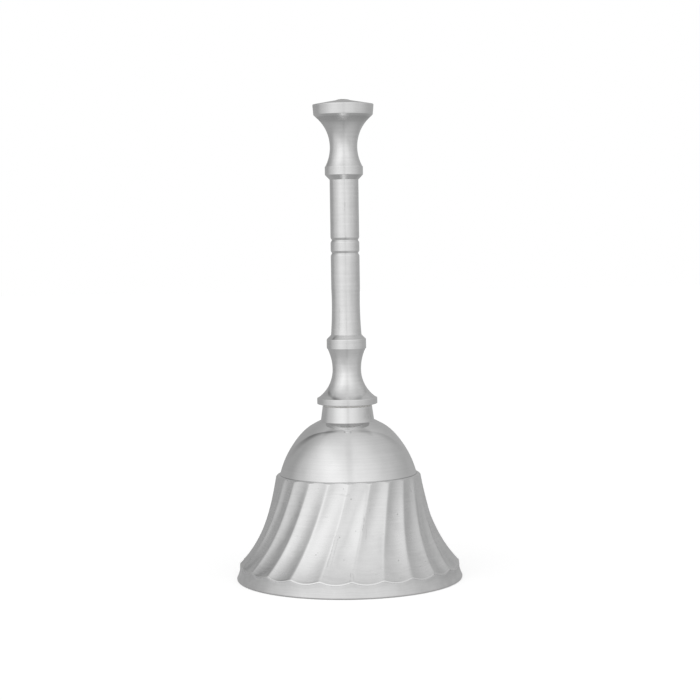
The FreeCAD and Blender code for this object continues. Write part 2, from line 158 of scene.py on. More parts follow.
# ---- Handle ----
GRIP_RADIUS = 5.04
TAPER_FOOT_RADIUS = 5.38
GROOVE_RADIUS = GRIP_RADIUS - 0.45
GROOVE_HALF_WIDTH = 0.85
GROOVE_EDGE = 0.15
GROOVE_CORNER = 0.05
# Painted shade under the top knob's disc: how far it lowers the wear value there.
PAINTED_SHADE_UNDER_DISC = 0.4

# ---- Tie rod: its body, and the head that was hammered over with overlapping blows ----
ROD_RADIUS = 2.0
ROD_FOOT_RADIUS = 2.2
ROD_TENON_RADIUS = 1.5
ROD_HEAD_RADIUS = 2.6
ROD_HEAD_CROWN = 0.45
BLOWS = 9
BLOW_RADIUS = 0.85
BLOW_DEPTH = 0.22
BLOW_TURN = 2.4

# ---- Bell casting ----
FLARE_BASE = 28.08
FLARE_SLOPE = 0.0977
FLARE_SIZE = 17.4
FLARE_REACH = 13.17
FLUTE_COUNT = 24
FLUTE_UNEVENNESS_DEG = 2.6
FLUTE_DEPTH = 0.87
FLUTE_TOP_LOSS = 0.42
FLUTE_FOOT_HEIGHT = 5.5
FLUTE_START_DEG = 1.0
FLUTE_WIND_POWER = 1.15
FLUTE_COLUMNS = 16
FLUTE_ROWS = 76
FLUTE_BUNCHING = 0.65
CREST_WEAR = 0.12
CREST_WIDTH = 0.04
LEDGE_HEIGHT = 37.2
LEDGE_INNER_RADIUS = 24.5
LEDGE_ROUNDING = 1.25
BAND_TOP = (38.7, 6.0)
BAND_MIDDLE = (39.07, 3.1)
LIP_EDGE_ROUNDING = 0.6
LIP_INNER_RADIUS = 36.5
LIP_WEAR_AND_SHADE = 0.6
INNER_LIP_WEAR = 0.8
LEDGE_WEAR = 0.7
FLUTES_MEET_BAND_BETWEEN = (3.0, 9.0)
DOME_CENTRE_HEIGHT = 29.0
DOME_RADIUS = 25.16
DOME_RISE = 29.45

# The dome stands prouder than its ellipse, from the first radius, most at the second, to the third.
FULLER_BY = 0.3
FULLER_RADII = (10.2, 15.0, 21.0)

NECK_SEAT_RADIUS = 10.1
NECK_FOOT_RADIUS = 9.45
NECK_TOP_RADIUS = 8.7
CROWN_FACE_HEIGHT = 54.0
CAVITY_DOME_RADIUS = 22.9
CAVITY_DOME_RISE = 26.0
CAVITY_DOME_FOOT = 34.0
CAVITY_WALL = [(23.75, 30.0), (26.1, 22.0), (29.5, 14.0), (33.8, 6.6), (35.9, 2.6)]

# The bead where the flutes meet the band: height beside the meeting line, how far it stands out,
# and wear (above 0 worn bright, and on the bead's bright rows also a painted highlight; below 0
# painted shade, as in the dark line under the bead). The crease at the dome's foot: radius and
# height beside the foot, and wear, whose values below 0 paint shade into the crease.
BEAD_DROP = 0.46
BEAD_BELOW = [
    (-BEAD_DROP, 0.0, -0.2),
    (-0.43, 0.10, 0.3),
    (-0.36, 0.17, 1.0),
    (-0.2, 0.16, 1.0),
    (0.0, 0.10, 1.0),
]
BEAD_ABOVE = [(0.2, 0.04, 0.8), (0.34, 0.0, 0.2), (0.5, 0.0, 0.0)]
CREASE = [
    (0.2, 0.0, 0.5),
    (0.1, -0.02, -0.8),
    (0.0, 0.0, -1.0),
    (-0.02, 0.1, -0.5),
    (-0.05, 0.22, 0.0),
]

# The fluted surface is hand-finished: it waves in and out by this much, at this many waves per mm.
WAVE_DEPTH = 0.035
WAVE_RATE = 0.17

# Finishes of the casting, in the order of its material slots.
OUTSIDE, SKIRT, BAND, NECK, INSIDE = range(5)


# ---------------------------------------------------------------- camera and studio

def make_camera():
    data = bpy.data.cameras.new("camera")
    data.lens = CAMERA_LENS
    data.sensor_width = SENSOR_WIDTH
    camera = bpy.data.objects.new("camera", data)
    bpy.context.scene.collection.objects.link(camera)
    tilt = Euler((math.radians(90 - CAMERA_PITCH_DEG), 0, 0)).to_matrix().to_4x4()
    roll = Matrix.Rotation(math.radians(-CAMERA_ROLL_DEG), 4, "Z")
    place = Matrix.Translation((CAMERA_SIDE, -CAMERA_DISTANCE, CAMERA_HEIGHT))
    camera.matrix_world = place @ tilt @ roll
    bpy.context.scene.camera = camera


class Nodes:
    """Short way to build a node tree: each call adds one node and links or sets its inputs."""

    def __init__(self, tree):
        self.tree = tree
        tree.nodes.clear()

    def add(self, kind, settings=None, **inputs):
        node = self.tree.nodes.new(kind)
        for key, value in (settings or {}).items():
            setattr(node, key, value)
        for key, value in inputs.items():
            is_number = key[0] == "i" and key[1:].isdigit()
            socket = node.inputs[int(key[1:]) if is_number else key.replace("_", " ")]
            if isinstance(value, bpy.types.NodeSocket):
                self.tree.links.new(value, socket)
            else:
                socket.default_value = value
        return node

    def math(self, operation, a, b=0.0, c=0.0, clamp=False):
        settings = {"operation": operation, "use_clamp": clamp}
        return self.add("ShaderNodeMath", settings, i0=a, i1=b, i2=c).outputs[0]

    def vector(self, operation, a, b=(0, 0, 0), c=(0, 0, 0)):
        return self.add("ShaderNodeVectorMath", {"operation": operation}, i0=a, i1=b, i2=c).outputs[0]

    def dot(self, a, b):
        node = self.add("ShaderNodeVectorMath", {"operation": "DOT_PRODUCT"}, i0=a, i1=b)
        return node.outputs["Value"]

    def fade(self, value, low, high, at_low=0.0, at_high=1.0):
        """Smooth change from at_low to at_high as value goes from low to high."""
        return self.add("ShaderNodeMapRange", {"interpolation_type": "SMOOTHSTEP"}, Value=value,
                        From_Min=low, From_Max=high, To_Min=at_low, To_Max=at_high).outputs[0]

    def noise(self, vector, scale, detail=2.0, roughness=0.5):
        return self.add("ShaderNodeTexNoise", {"normalize": True}, Vector=vector, Scale=scale,
                        Detail=detail, Roughness=roughness).outputs["Fac"]

    def attribute(self, name):
        return self.add("ShaderNodeAttribute", {"attribute_name": name}).outputs["Fac"]

    def mix_color(self, factor, a, b):
        node = self.add("ShaderNodeMix", {"data_type": "RGBA"}, i0=factor, i6=a, i7=b)
        return node.outputs[2]


def direction(azimuth_deg, elevation_deg):
    a, e = math.radians(azimuth_deg), math.radians(elevation_deg)
    return (math.sin(a) * math.cos(e), -math.cos(a) * math.cos(e), math.sin(e))


def front_gap(n, view):
    """Dark strip between the two front panels."""
    across = n.math("ABSOLUTE", n.dot(view, direction(FRONT_GAP_AZIMUTH + 90, 0)))
    in_front = n.fade(n.dot(view, direction(FRONT_GAP_AZIMUTH, 0)), 0.0, 0.5)
    return n.math("MULTIPLY", n.fade(across, *FRONT_GAP_EDGES, FRONT_GAP_DARK, 0.0), in_front)


def rear_rim(n, view):
    """Dark rim of the rear panel, fainter on the right, low down and straight behind."""
    towards_panel = n.dot(view, direction(*REAR_PANEL))
    starts, full, fades, gone = (math.cos(math.radians(angle)) for angle in REAR_RIM_DEG)
    rim = n.math("MULTIPLY", n.fade(towards_panel, full, starts, 1.0, 0.0),
                 n.fade(towards_panel, gone, fades, 0.0, REAR_RIM_DARK))
    sideways, up = n.dot(view, (1, 0, 0)), n.dot(view, (0, 0, 1))
    rim = n.math("MULTIPLY", rim, n.fade(sideways, *RIM_RIGHT))
    rim = n.math("MULTIPLY", rim, n.fade(n.math("ABSOLUTE", sideways), *RIM_ASIDE))
    return n.math("MULTIPLY", rim, n.fade(up, *RIM_UP))


def overhead_straps(n, view):
    """Dark straps that the rear panel hangs by, on both sides of the bell and nearly overhead."""
    beside = n.math("ABSOLUTE", n.dot(view, (1, 0, 0)))
    strap = n.fade(beside, *STRAP_ASIDE, 0.0, STRAP_DARK)
    strap = n.math("MULTIPLY", strap, n.fade(n.dot(view, (0, 0, 1)), *STRAP_UP))
    return n.math("MULTIPLY", strap, n.fade(n.dot(view, (0, 1, 0)), *STRAP_BACK))


def make_world():
    """Light tent: broad soft lobes that the metal reflects, and plain white behind for the eye."""
    world = bpy.data.worlds.new("studio")
    bpy.context.scene.world = world
    world.use_nodes = True
    n = Nodes(world.node_tree)
    view = n.add("ShaderNodeTexCoord").outputs["Generated"]
    light = SURROUND
    for azimuth, elevation, inner, outer, strength in SOFT_LIGHTS:
        lobe = n.fade(n.dot(view, direction(azimuth, elevation)), math.cos(math.radians(outer)),
                      math.cos(math.radians(inner)), 0.0, strength)
        light = n.math("ADD", lobe, light)
    light = n.math("ADD", light, front_gap(n, view))
    light = n.math("ADD", light, rear_rim(n, view))
    light = n.math("ADD", light, overhead_straps(n, view))
    seen = n.add("ShaderNodeLightPath").outputs["Is Camera Ray"]
    strength = n.add("ShaderNodeMix", {"data_type": "FLOAT"}, i0=seen, i2=light, i3=1.0).outputs[0]
    background = n.add("ShaderNodeBackground", Color=grey(1), Strength=strength)
    n.add("ShaderNodeOutputWorld", Surface=background.outputs[0])


def make_floor():
    bpy.ops.mesh.primitive_plane_add(size=FLOOR_SIZE)
    floor = bpy.context.object
    floor.name = "floor"
    floor.visible_glossy = False
    material = bpy.data.materials.new("floor")
    material.use_nodes = True
    n = Nodes(material.node_tree)
    diffuse = n.add("ShaderNodeBsdfDiffuse", Color=grey(FLOOR_TONE))
    glow = n.add("ShaderNodeEmission", Color=grey(1), Strength=FLOOR_GLOW)
    both = n.add("ShaderNodeAddShader", i0=diffuse.outputs[0], i1=glow.outputs[0])
    n.add("ShaderNodeOutputMaterial", Surface=both.outputs[0])
    floor.data.materials.append(material)


# ---------------------------------------------------------------- materials

def new_material(name):
    material = bpy.data.materials.new(name)
    material.use_nodes = True
    return material, Nodes(material.node_tree)


def grey(value):
    return (value, value, value, 1)


def bump(n, height):
    """Surface normal for a height in millimetres."""
    return n.add("ShaderNodeBump", Strength=1.0, Distance=MM, Height=height).outputs[0]


def split_wear_and_shade(n):
    """How bright an edge is worn (on the bead also a painted highlight) and how much painted shade
    darkens a corner, from the two signs of wear.
    """
    wear_sheen_and_shade = n.attribute("wear_sheen_and_shade")
    return n.math("MAXIMUM", wear_sheen_and_shade, 0.0), n.math("MULTIPLY", n.math("MINIMUM", wear_sheen_and_shade, 0.0), -1.0)


def finish_material(material, n, **inputs):
    shader = n.add("ShaderNodeBsdfPrincipled", **inputs)
    n.add("ShaderNodeOutputMaterial", Surface=shader.outputs[0])
    return material


def round_axis(n, scales, along):
    """Noise coordinates that run round the axis and along a turned surface."""
    across, along_scale = scales
    place = n.vector("MULTIPLY", n.add("ShaderNodeTexCoord").outputs["Object"], (1, 1, 0))
    outward = n.vector("NORMALIZE", place)
    lift = n.add("ShaderNodeCombineXYZ", Z=n.math("MULTIPLY", along, along_scale)).outputs[0]
    return n.vector("MULTIPLY_ADD", outward, (across, across, 0), lift)


def in_millimetres(n):
    place = n.add("ShaderNodeTexCoord").outputs["Object"]
    return n.add("ShaderNodeVectorMath", {"operation": "SCALE"}, i0=place, Scale=1 / MM).outputs[0]


def marks(n, millimetres, table):
    """Scratches and smudges: each is azimuth, height, length, width, lean and darkness."""
    wobble = n.math("MULTIPLY_ADD", n.noise(millimetres, 0.9, 2.0, 0.5), 0.5, -0.25)
    broken = n.fade(n.noise(millimetres, 1.3, 3.0, 0.6), 0.30, 0.62)
    height = n.add("ShaderNodeSeparateXYZ", Vector=millimetres).outputs["Z"]
    total = 0.0
    for azimuth, middle, length, width, lean, darkness in table:
        a = math.radians(azimuth)
        above = n.math("SUBTRACT", height, middle)
        across = n.math("ADD", n.dot(millimetres, (math.cos(a), math.sin(a), 0)), wobble)
        across = n.math("ABSOLUTE", n.math("MULTIPLY_ADD", above, -lean, across))
        line = n.fade(across, width * 0.35, width, darkness, 0.0)
        ends = n.fade(n.math("ABSOLUTE", above), length * 0.35, length * 0.5, 1.0, 0.0)
        facing = n.fade(n.dot(millimetres, (math.sin(a), -math.cos(a), 0)), 0.0, 1.0)
        total = n.math("MAXIMUM", n.math("MULTIPLY", n.math("MULTIPLY", line, ends), facing), total)
    return n.math("MULTIPLY", total, broken)


def turned_metal(name, roughness, ring_height, streak_height, tone=0.86, spread=0.04,
                 anisotropy=0.3, table=()):
    """Aluminium straight from the lathe: fine rings, hand-polished streaks, bright worn edges, and
    painted shade in inner corners and creases.
    """
    material, n = new_material(name)
    along = n.attribute("along")
    wear_and_sheen, painted_shade = split_wear_and_shade(n)
    fine_rings = n.noise(round_axis(n, FINE_RINGS, along), 1.0, 3.0, 0.6)
    coarse_rings = n.noise(round_axis(n, COARSE_RINGS, along), 1.0, 2.0, 0.5)
    streaks = n.noise(round_axis(n, STREAKS, along), 1.0, 3.0, 0.55)
    millimetres = in_millimetres(n)
    blotches = n.noise(millimetres, 0.22, 3.0, 0.55)
    scratched = marks(n, millimetres, table) if table else 0.0

    rings = n.math("ADD", n.math("MULTIPLY", fine_rings, ring_height),
                   n.math("MULTIPLY", coarse_rings, COARSE_RING_SHARE * ring_height))
    height = n.math("ADD", rings, n.math("MULTIPLY", streaks, streak_height))
    height = n.math("MULTIPLY_ADD", scratched, -SCRATCH_DEPTH, height)

    shade = n.math("ADD", n.math("MULTIPLY", fine_rings, 0.10), n.math("MULTIPLY", blotches, 0.12))
    shade = n.math("ADD", shade, n.math("MULTIPLY", streaks, 0.07))
    color = n.mix_color(n.fade(shade, 0.08, 0.22), grey(tone - spread), grey(tone + spread))
    color = n.mix_color(n.math("MULTIPLY", wear_and_sheen, 0.5), color, grey(min(0.95, tone + 0.07)))
    # Painted shade in inner corners, creases and under the lip and disc, broken up by blotches.
    darkening = n.math("MULTIPLY", painted_shade, n.fade(blotches, 0.3, 0.6, 0.45, 0.8))
    color = n.mix_color(n.math("MAXIMUM", darkening, scratched), color, grey(SHADE_AND_SCRATCH_TONE))
    rough = n.math("MULTIPLY_ADD", fine_rings, 0.12, roughness - 0.06)
    rough = n.math("ADD", rough, n.fade(blotches, 0.35, 0.65, -0.03, 0.04))
    rough = n.math("SUBTRACT", rough, n.math("MULTIPLY", wear_and_sheen, 0.06))
    rough = n.math("MULTIPLY_ADD", painted_shade, 0.2, rough, clamp=True)

    tangent = n.add("ShaderNodeTangent", {"direction_type": "RADIAL", "axis": "Z"}).outputs[0]
    return finish_material(material, n, Base_Color=color, Metallic=1.0, Roughness=rough,
                           Anisotropic=anisotropy, Normal=bump(n, height), Tangent=tangent)


def skirt_metal():
    """Buffed casting: soft blotches, cross brushing in the flutes, a few file marks, worn crests, and
    a painted highlight on the bead with painted shade below it.
    """
    material, n = new_material("buffed_casting")
    along = n.attribute("along")
    wear_and_sheen, painted_shade = split_wear_and_shade(n)
    millimetres = in_millimetres(n)
    lines = n.noise(round_axis(n, CROSS_BRUSHING, along), 1.0, 3.0, 0.6)
    cloud = n.noise(millimetres, 0.16, 4.0, 0.6)
    grain = n.noise(millimetres, 1.7, 2.0, 0.5)
    pits = n.fade(n.noise(millimetres, 0.75, 1.0, 0.5), 0.74, 0.79, 0.0, PIT_DARKNESS)
    scratched = n.math("MAXIMUM", marks(n, millimetres, SKIRT_MARKS), pits)

    height = n.math("ADD", n.math("MULTIPLY", lines, BRUSHING_HEIGHT),
                    n.math("MULTIPLY", grain, GRAIN_HEIGHT))
    height = n.math("ADD", height, n.math("MULTIPLY", cloud, CLOUD_HEIGHT))
    height = n.math("MULTIPLY_ADD", scratched, -SCRATCH_DEPTH, height)
    shade = n.math("ADD", n.math("MULTIPLY", cloud, 0.6), n.math("MULTIPLY", lines, 0.4))
    color = n.mix_color(n.fade(shade, 0.36, 0.62), *map(grey, SKIRT_TONES))
    # Worn crests brighten; on the bead this brightening is a painted highlight.
    color = n.mix_color(n.math("MULTIPLY", wear_and_sheen, 0.6), color, grey(SKIRT_WORN_AND_SHEEN_TONE))
    # Painted shade below the bead, together with scratches and pits.
    darkening = n.math("MAXIMUM", n.math("MULTIPLY", painted_shade, 0.6), scratched)
    color = n.mix_color(darkening, color, grey(SKIRT_SHADE_AND_MARK_TONE))
    rough = n.math("MULTIPLY_ADD", lines, 0.14, 0.14)
    rough = n.math("ADD", rough, n.fade(cloud, 0.35, 0.65, -0.03, 0.05))
    rough = n.math("SUBTRACT", rough, n.math("MULTIPLY", wear_and_sheen, 0.08))
    rough = n.math("MULTIPLY_ADD", painted_shade, 0.2, rough, clamp=True)
    return finish_material(material, n, Base_Color=color, Metallic=1.0, Roughness=rough,
                           Normal=bump(n, height))


def plated_steel(name, tone, roughness, scale):
    """Zinc-plated or turned steel with fine scuffs and duller patches."""
    material, n = new_material(name)
    millimetres = in_millimetres(n)
    scuffs = n.noise(n.vector("MULTIPLY", millimetres, (1.0, 1.0, 0.25)), scale, 4.0, 0.65)
    patches = n.noise(millimetres, 0.35, 3.0, 0.6)
    grain = n.noise(millimetres, 6.0, 2.0, 0.5)
    height = n.math("ADD", n.math("MULTIPLY", scuffs, SCUFF_HEIGHT),
                    n.math("MULTIPLY", grain, STEEL_GRAIN_HEIGHT))
    tinted = (tone * 0.86, tone * 0.84, tone * 0.80, 1)
    color = n.mix_color(n.fade(patches, 0.35, 0.65), tinted, grey(tone))
    color = n.mix_color(n.fade(scuffs, 0.55, 0.7, 0.0, 0.5), color, grey(min(0.9, tone * 1.25)))
    rough = n.math("MULTIPLY_ADD", patches, 0.22, roughness - 0.11)
    rough = n.math("MULTIPLY_ADD", scuffs, 0.12, n.math("SUBTRACT", rough, 0.06), clamp=True)
    return finish_material(material, n, Base_Color=color, Metallic=1.0, Roughness=rough,
                           Normal=bump(n, height))


def fibre():
    """Pale pressed-fibre washer."""
    material, n = new_material("pressed_fibre")
    millimetres = in_millimetres(n)
    strands = n.noise(n.vector("MULTIPLY", millimetres, (1.0, 1.0, 3.0)), 2.5, 4.0, 0.7)
    color = n.mix_color(n.fade(strands, 0.35, 0.65), *FIBRE_COLORS)
    rough = n.fade(strands, 0.3, 0.7, 0.75, 0.95)
    return finish_material(material, n, Base_Color=color, Roughness=rough,
                           Normal=bump(n, n.math("MULTIPLY", strands, FIBRE_HEIGHT)))


# ---------------------------------------------------------------- outlines

def span(node):
    """Lowest and highest height of a CAD node, in millimetres."""
    low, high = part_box(node)
    return low[2] / MM, high[2] / MM


def round_corner(before, corner, after, radius):
    """Small arc in place of a corner, each point with its wear (bright on outer corners, painted
    shade on inner ones), and a plain guard either side.
    """
    a, p, b = (np.array(q[:2], float) for q in (before, corner, after))
    into, out = p - a, b - p
    into /= np.linalg.norm(into)
    out /= np.linalg.norm(out)
    turn = math.acos(max(-1.0, min(1.0, float(into @ out))))
    reach = radius * math.tan(turn / 2)
    left = into[0] * out[1] - into[1] * out[0]
    # Outer corners are worn bright; inner corners get painted shade.
    wear_sheen_and_shade = 1.0 if left > 0 else -1.0
    start, end = p - into * reach, p + out * reach
    centre = start + np.array([-into[1], into[0]]) * radius * math.copysign(1, left)
    points = [(*(start - into * CORNER_GUARD), 0.0)]
    for step in range(CORNER_STEPS + 1):
        angle = math.copysign(turn * step / CORNER_STEPS, left)
        arm = start - centre
        turned_arm = (arm[0] * math.cos(angle) - arm[1] * math.sin(angle),
                      arm[0] * math.sin(angle) + arm[1] * math.cos(angle))
        points.append((centre[0] + turned_arm[0], centre[1] + turned_arm[1], wear_sheen_and_shade))
    points.append((*(end + out * CORNER_GUARD), 0.0))
    return points


def outline(*corners):
    """Closed outline, anticlockwise. A corner is (radius, height) or (radius, height, rounding)."""
    points = []
    for index, corner in enumerate(corners):
        if len(corner) == 3:
            following = corners[(index + 1) % len(corners)]
            points += round_corner(corners[index - 1], corner, following, corner[2])
        else:
            points.append((corner[0], corner[1], 0.0))
    filled = []
    for index, point in enumerate(points):
        following = points[(index + 1) % len(points)]
        filled.append(point)
        pieces = math.ceil(math.dist(point[:2], following[:2]) / LONGEST_RUN)
        for step in range(1, pieces):
            share = step / pieces
            filled.append(tuple(p + (q - p) * share for p, q in zip(point, following)))
    return filled


def hollow(waist, end, steps=12):
    """Points of the hollow arc that leaves the waist parallel to the axis and stops at end."""
    rise, spread = end[1] - waist[1], end[0] - waist[0]
    radius = (rise ** 2 + spread ** 2) / (2 * spread)
    half = math.asin(abs(rise) / radius)
    points = []
    for step in range(steps + 1):
        angle = half * step / steps
        height = waist[1] + math.copysign(radius * math.sin(angle), rise)
        points.append((waist[0] + radius * (1 - math.cos(angle)), height))
    return points


# ---------------------------------------------------------------- meshes

def grid_mesh(name, points, wear_sheen_and_shade, along):
    """Mesh of a grid that closes round the axis and from its last row to its first."""
    rows, columns = points.shape[:2]
    here = np.arange(rows * columns).reshape(rows, columns)
    right, above = np.roll(here, -1, 1), np.roll(here, -1, 0)
    faces = np.stack([here, right, np.roll(above, -1, 1), above], -1).reshape(-1, 4)
    mesh = bpy.data.meshes.new(name)
    mesh.from_pydata((points.reshape(-1, 3) * MM).tolist(), [], faces.tolist())
    for attribute, values in (("wear_sheen_and_shade", wear_sheen_and_shade), ("along", along)):
        layer = mesh.attributes.new(attribute, "FLOAT", "POINT")
        layer.data.foreach_set("value", np.ascontiguousarray(values, dtype=np.float32).ravel())
    mesh.polygons.foreach_set("use_smooth", [True] * len(mesh.polygons))
    mesh.set_sharp_from_angle(angle=math.radians(SHARP_ANGLE_DEG))
    return mesh


def place_piece(mesh, node, body, slot, *materials):
    for material in materials:
        mesh.materials.append(material)
    piece = bpy.data.objects.new(node + "_finished", mesh)
    bpy.context.scene.collection.objects.link(piece)
    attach(piece, body)
    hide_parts(node)


def turned_mesh(name, profile):
    """Turns a closed outline about the axis."""
    profile = np.array(profile)
    angles = np.linspace(0, 2 * math.pi, TURNS, endpoint=False)
    radius, height = profile[:, 0:1], profile[:, 1:2]
    x = radius * np.sin(angles)
    y = -radius * np.cos(angles)
    z = np.broadcast_to(height, x.shape)
    steps = np.linalg.norm(np.diff(profile[:, :2], axis=0), axis=1)
    along = np.concatenate([[0], np.cumsum(steps)])[:, None]
    wear_sheen_and_shade = np.broadcast_to(profile[:, 2:3], x.shape)
    return grid_mesh(name, np.stack([x, y, z], -1), wear_sheen_and_shade, np.broadcast_to(along, x.shape))


def place_turned(node, profile, slot, material):
    place_piece(turned_mesh(node, profile), node, "bell", slot, material)


def make_handle_foot(metal):
    bottom, top = span("handle_foot")
    underside_radius, flange_radius, collar_radius = 8.8, 10.63, 6.94
    chamfer_top, flange_top = bottom + 0.5, bottom + 2.6
    collar_bottom, collar_top = top - 4.8, top - 1.55
    waist = (5.02, bottom + 12.55)
    upper = hollow(waist, (6.74, collar_bottom))
    lower = hollow(waist, (10.28, flange_top))
    profile = outline(
        (BORE_RADIUS, bottom), (underside_radius, bottom, 0.08),
        (flange_radius, chamfer_top, CORNER_RADIUS), (flange_radius, flange_top, CORNER_RADIUS),
        *lower[::-1], *upper[1:],
        (collar_radius, collar_bottom, FINE_CORNER), (collar_radius, collar_top, CORNER_RADIUS),
        (TAPER_FOOT_RADIUS, top, FINE_CORNER), (BORE_RADIUS, top))
    place_turned("handle_foot", profile, "turned_aluminium", metal)


def make_lower_grip(metal):
    bottom, top = span("lower_grip")
    foot, waist = (TAPER_FOOT_RADIUS, bottom), (4.97, bottom + 8.1)
    straight_from = (GRIP_RADIUS, bottom + 16.6)
    profile = outline(
        (BORE_RADIUS, bottom), *arc_points(foot, waist, straight_from, 14),
        (GRIP_RADIUS, top - GROOVE_HALF_WIDTH, GROOVE_EDGE),
        (GROOVE_RADIUS, top, GROOVE_CORNER), (BORE_RADIUS, top))
    place_turned("lower_grip", profile, "turned_aluminium", metal)


def make_centre_ring(metal):
    bottom, top = span("centre_ring")
    profile = outline(
        (BORE_RADIUS, bottom), (GROOVE_RADIUS, bottom, GROOVE_CORNER),
        (GRIP_RADIUS, bottom + GROOVE_HALF_WIDTH, GROOVE_EDGE),
        (GRIP_RADIUS, top - GROOVE_HALF_WIDTH, GROOVE_EDGE),
        (GROOVE_RADIUS, top, GROOVE_CORNER), (BORE_RADIUS, top))
    place_turned("centre_ring", profile, "turned_aluminium", metal)


def make_upper_grip(metal):
    bottom, top = span("upper_grip")
    profile = outline(
        (BORE_RADIUS, bottom), (GROOVE_RADIUS, bottom, GROOVE_CORNER),
        (GRIP_RADIUS, bottom + GROOVE_HALF_WIDTH, GROOVE_EDGE),
        (GRIP_RADIUS, top, FINE_CORNER), (BORE_RADIUS, top))
    place_turned("upper_grip", profile, "turned_aluminium", metal)


def make_top_knob(metal):
    bottom, top = span("top_knob")
    collar_radius, disc_radius, disc_foot_radius = 6.68, 10.71, 10.4
    collar_bottom, collar_top = bottom + 1.7, bottom + 4.6
    disc_bottom, rim_bottom, rim_top = top - 6.0, top - 5.0, top - 1.4
    rod_recess_radius, recess_floor = 2.62, top - 1.2
    waist = (4.8, bottom + 11.4)
    lower = hollow(waist, (6.53, collar_top))
    upper = hollow(waist, (9.35, disc_bottom), 18)
    profile = outline(
        (BORE_RADIUS, bottom), (GRIP_RADIUS, bottom, FINE_CORNER),
        (collar_radius, collar_bottom, CORNER_RADIUS), (collar_radius, collar_top, FINE_CORNER),
        *lower[::-1], *upper[1:],
        (disc_foot_radius, rim_bottom, CORNER_RADIUS), (disc_radius, rim_top, CORNER_RADIUS),
        (3.3, top - 0.09, 0.3), (rod_recess_radius, top, 0.05),
        (2.02, recess_floor), (BORE_RADIUS, top - 1.35))
    # Under the disc the colour is darkened, most next to the disc, as painted shade.
    shade_from, shade_to = disc_bottom - 3.4, disc_bottom - 0.6
    profile = [(r, z, wear_sheen_and_shade - PAINTED_SHADE_UNDER_DISC * smooth_step(z, shade_from, shade_to))
               if waist[0] < r and z <= disc_bottom + 0.01 else (r, z, wear_sheen_and_shade)
               for r, z, wear_sheen_and_shade in profile]
    place_turned("top_knob", profile, "turned_aluminium", metal)


def make_neck_washer(material):
    bottom, top = span("neck_washer")
    radius = 8.55
    profile = outline(
        (BORE_RADIUS, bottom), (radius, bottom, FINE_CORNER),
        (radius, top, FINE_CORNER), (BORE_RADIUS, top))
    place_turned("neck_washer", profile, "washer_fibre", material)


# ---------------------------------------------------------------- bell casting

def arc_points(start, middle, end, steps):
    """Points of the circle through three points, from start to end."""
    (ax, ay), (bx, by), (cx, cy) = start, middle, end
    d = 2 * (ax * (by - cy) + bx * (cy - ay) + cx * (ay - by))
    a2, b2, c2 = ax ** 2 + ay ** 2, bx ** 2 + by ** 2, cx ** 2 + cy ** 2
    ux = (a2 * (by - cy) + b2 * (cy - ay) + c2 * (ay - by)) / d
    uy = (a2 * (cx - bx) + b2 * (ax - cx) + c2 * (bx - ax)) / d
    radius = math.dist((ux, uy), start)
    first = math.atan2(ay - uy, ax - ux)
    sweep = (math.atan2(cy - uy, cx - ux) - first + math.pi) % (2 * math.pi) - math.pi
    angles = [first + sweep * step / steps for step in range(steps + 1)]
    return [(ux + radius * math.cos(a), uy + radius * math.sin(a)) for a in angles]


def ridge_radius(height):
    return FLARE_BASE - FLARE_SLOPE * height + FLARE_SIZE * np.exp(-height / FLARE_REACH)


def share_up(height):
    """How far up the flutes a height is: 0 at the foot, 1 at the ledge."""
    return np.clip((height - FLUTE_FOOT_HEIGHT) / (LEDGE_HEIGHT - FLUTE_FOOT_HEIGHT), 0, 1)


def flute_radius(fraction, height):
    """Radius of the fluted surface: hollow between ridges, crests rounder towards the top."""
    up = share_up(height)
    rounding = 0.02 + 0.07 * up
    land = 0.02 * (1 - up) ** 2
    beside = np.minimum(fraction, 1 - fraction)
    eased = np.sqrt(np.maximum(beside - land, 0) ** 2 + rounding ** 2) - rounding
    at_middle = np.sqrt((0.5 - land) ** 2 + rounding ** 2) - rounding
    across = 0.5 * eased / at_middle
    depth = FLUTE_DEPTH - FLUTE_TOP_LOSS * up ** 3
    return ridge_radius(height) - depth * 4 * across * (1 - across)


def band_radius(height):
    """Radius of the smooth cove at the lip, a circle through three points of it."""
    points = arc_points(BAND_TOP, BAND_MIDDLE, (lip_radius(), LIP_EDGE_ROUNDING), 40)
    radii, heights = zip(*points[::-1])
    return np.where(height > BAND_TOP[1], BAND_TOP[0], np.interp(height, heights, radii))


def lip_radius():
    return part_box("bell_shell")[1][0] / MM


def ledge_radius(height):
    """Radius of the rounded edge between the skirt and the ledge."""
    above = np.clip(height - LEDGE_HEIGHT + LEDGE_ROUNDING, 0, LEDGE_ROUNDING)
    return LEDGE_INNER_RADIUS + np.sqrt(LEDGE_ROUNDING ** 2 - above ** 2)


def meeting_height(fraction, low, high, other_radius, flutes_outside_below):
    """Height at which the fluted surface meets another one, by halving the interval."""
    low = np.full_like(fraction, low)
    high = np.full_like(fraction, high)
    for _ in range(40):
        middle = (low + high) / 2
        below = (flute_radius(fraction, middle) > other_radius(middle)) == flutes_outside_below
        low = np.where(below, middle, low)
        high = np.where(below, high, middle)
    return (low + high) / 2


def spline(points, steps):
    """Smooth curve through all points, with as many steps between each pair."""
    p = np.array(points, float)
    p = np.vstack([2 * p[0] - p[1], p, 2 * p[-1] - p[-2]])
    out = []
    for i in range(1, len(p) - 2):
        for t in np.arange(steps) / steps:
            out.append(0.5 * (2 * p[i] + (p[i + 1] - p[i - 1]) * t
                              + (2 * p[i - 1] - 5 * p[i] + 4 * p[i + 1] - p[i + 2]) * t ** 2
                              + (3 * p[i] - 3 * p[i + 1] + p[i + 2] - p[i - 1]) * t ** 3))
    return out + [p[-2]]


def smooth_step(value, low, high):
    t = np.clip((value - low) / (high - low), 0, 1)
    return t * t * (3 - 2 * t)


